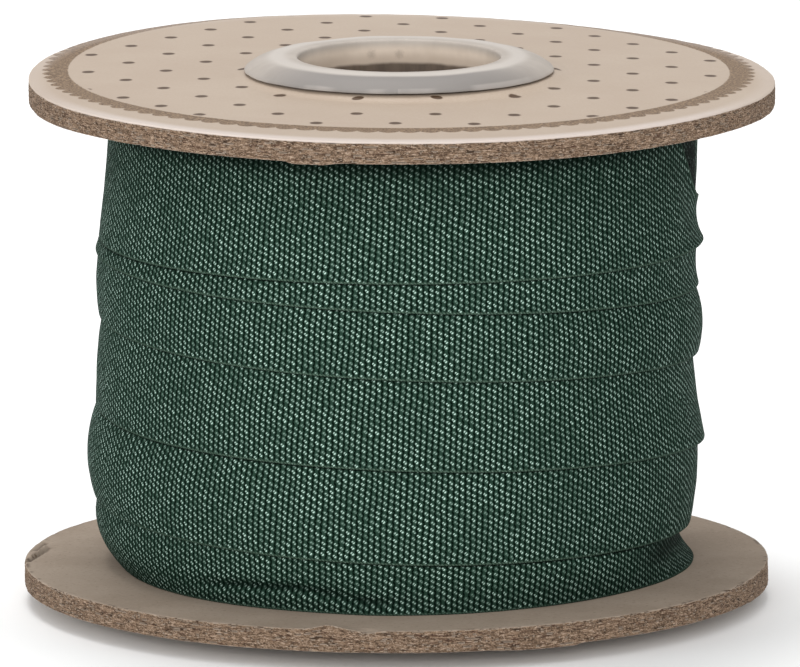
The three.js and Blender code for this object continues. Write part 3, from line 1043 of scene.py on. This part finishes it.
def ribbon_finish():
    """Coarse plain weave of doubled yarns: floats with painted glints, mid-green crossings and
    gaps painted dark as shade.
    """
    n = Nodes("green_woven_ribbon")
    pitch_along, pitch_across, strand_pitch = 0.508, 0.535, 0.212
    uv = n.add("ShaderNodeUVMap", uv_map="weave").outputs[0]
    place = n.add("ShaderNodeSeparateXYZ", {"Vector": uv})
    u, v = place.outputs[0], place.outputs[1]

    # Yarns wander a little both ways
    elsewhere = n.add("ShaderNodeMapping", {"Vector": uv, "Location": (31.7, 12.9, 0)}).outputs[0]
    drift_u = n.minus(n.noise(uv, 0.35, 2, 0.5, "2D"), 0.5)
    drift_v = n.minus(n.noise(elsewhere, 0.45, 2, 0.5, "2D"), 0.5)
    along_yarn = n.plus(n.plus(u, n.times(v, -0.05)), n.times(drift_u, 0.3))
    across_yarn = n.plus(v, n.times(drift_v, 0.35))

    # Columns of floats, every other column half a step up
    column = n.math("DIVIDE", along_yarn, pitch_along)
    index = n.math("FLOOR", column)
    odd = n.times(n.math("FLOORED_MODULO", index, 2.0), 0.5)
    row = n.plus(n.math("DIVIDE", across_yarn, pitch_across), odd)
    du = n.minus(n.math("FRACT", column), 0.5)
    dv = n.minus(n.math("FRACT", row), 0.5)
    cell = n.add("ShaderNodeCombineXYZ", {"X": index, "Y": n.math("FLOOR", row)}).outputs[0]
    chance = n.add("ShaderNodeTexWhiteNoise", {"Vector": cell}, noise_dimensions="2D")
    chance = chance.outputs["Value"]

    def blob(dx, dy, half_wide, half_tall, low, high):
        far = n.length(n.math("DIVIDE", dx, half_wide), n.math("DIVIDE", dy, half_tall))
        return n.ramp(far, high, low)

    # No two floats sit quite alike
    again = n.math("FRACT", n.times(chance, 7.3))
    wide = n.plus(n.times(du, pitch_along), n.times(n.minus(chance, 0.5), 0.08))
    tall = n.plus(n.times(dv, pitch_across), n.times(n.minus(again, 0.5), 0.1))
    leaning = n.plus(wide, n.times(tall, 0.6))
    float_body = blob(leaning, tall, 0.2, 0.235, 0.35, 1.08)
    slant = n.times(n.minus(wide, tall), 0.7071)
    phase = n.plus(slant, n.times(n.minus(chance, 0.5), 0.10))
    ripple = n.math("COSINE", n.times(phase, math.tau / strand_pitch))
    twist = n.math("MULTIPLY_ADD", ripple, -0.5, 0.5)
    strand = n.times(float_body, n.math("MULTIPLY_ADD", twist, 0.7, 0.3))

    # The gaps between columns bend round the floats
    bulge = n.times(n.math("COSINE", n.times(dv, math.tau)), 0.05)
    side = n.plus(n.times(n.minus(0.5, n.math("ABSOLUTE", du)), pitch_along), bulge)
    spine = n.ramp(side, 0.0, 0.15)
    level = n.times(n.minus(n.math("ABSOLUTE", dv), 0.25), pitch_across)
    gap = blob(side, level, 0.125, 0.135, 0.35, 1.15)

    # Painted glints on the floats, patchy
    patches = n.noise(uv, 0.22, 3, 0.6, "2D")
    painted_glint = n.times(n.ramp(strand, 0.3, 0.9), n.math("MULTIPLY_ADD", chance, 0.95, 0.25))
    painted_glint = n.times(painted_glint, n.ramp(patches, 0.25, 0.75, 0.7, 1.1))

    # Selvages at both edges
    top_gap = n.add("ShaderNodeAttribute", attribute_name="from_top_edge").outputs["Fac"]
    selvage = n.math("MAXIMUM", n.ramp(v, 0.22, 0.14), n.ramp(top_gap, 0.5, 0.3))
    cord_pitch = 0.3
    cord_turn = n.math("SINE", n.times(n.plus(u, n.times(v, 0.8)), math.tau / cord_pitch))
    cord_shade = n.ramp(cord_turn, -0.9, 0.9)

    # The gaps are painted near black as shade in the weave's holes
    colour = n.mix(spine, linear(12, 30, 21), linear(34, 55, 45))
    colour = n.mix(gap, colour, linear(2, 11, 6))
    colour = n.mix(n.times(float_body, 0.8), colour, linear(62, 86, 74))
    colour = n.mix(n.math("MINIMUM", painted_glint, 1.0), colour, linear(174, 201, 189))
    plain = n.mix(cord_shade, linear(40, 58, 48), linear(74, 93, 80))
    colour = n.mix(n.times(selvage, 0.85), colour, plain)

    # Painted shadow: a dark line where a wrap slips under the one above, and painted shade close
    # under the board
    shaded = linear(3, 11, 7)
    line = n.add("ShaderNodeAttribute", attribute_name="below_wrap").outputs["Fac"]
    broken = n.ramp(n.noise(uv, 1.6, 2, 0.6, "2D"), 0.3, 0.55, 0.45, 1.0)
    colour = n.mix(n.times(n.ramp(line, 0.24, 0.06), broken), colour, linear(3, 10, 6))
    shade = n.add("ShaderNodeAttribute", attribute_name="below_board").outputs["Fac"]
    colour = n.mix(n.ramp(shade, 3.0, 1.0, 0, 0.85), colour, shaded)
    colour = n.mix(n.ramp(shade, 9.0, 2.5, 0, 0.26), colour, shaded)

    # Painted shade: the ribbon is darkened towards its flanks at the left and right, more at the
    # right
    flank = n.add("ShaderNodeSeparateXYZ", {"Vector": n.object_millimetres()}).outputs[0]
    colour = n.mix(n.ramp(flank, 6.0, 22.0, 0, 0.27), colour, shaded)
    colour = n.mix(n.ramp(flank, -8.0, -22.0, 0, 0.18), colour, shaded)
    # Painted shade in the crease, the tuck low at the right and along the foot
    painted_fold_shade = n.add("ShaderNodeAttribute", attribute_name="painted_fold_shade").outputs["Fac"]
    colour = n.mix(painted_fold_shade, colour, shaded)
    n.feed(n.shader.inputs["Base Color"], colour)

    raised = n.math("MULTIPLY_ADD", strand, 0.8, n.math("MULTIPLY_ADD", gap, -0.7, 0.4))
    flat_edge = n.math("MULTIPLY_ADD", cord_shade, 0.25, 0.45)
    height = n.plus(n.times(raised, n.minus(1.0, selvage)), n.times(flat_edge, selvage))
    n.feed(n.shader.inputs["Normal"], n.bump(height, 0.07, 0.8))
    n.uniform(Roughness=0.7, Specular_IOR_Level=0.012)
    return n.material


add_camera()
add_studio()
board_finishes = (board_finish("greyboard_face", False), board_finish("greyboard_cut_edge", True))
lower_board(board_finishes)
upper_board(board_finishes)
printed_paper()
core_tube()
wound_ribbon()

deselect()
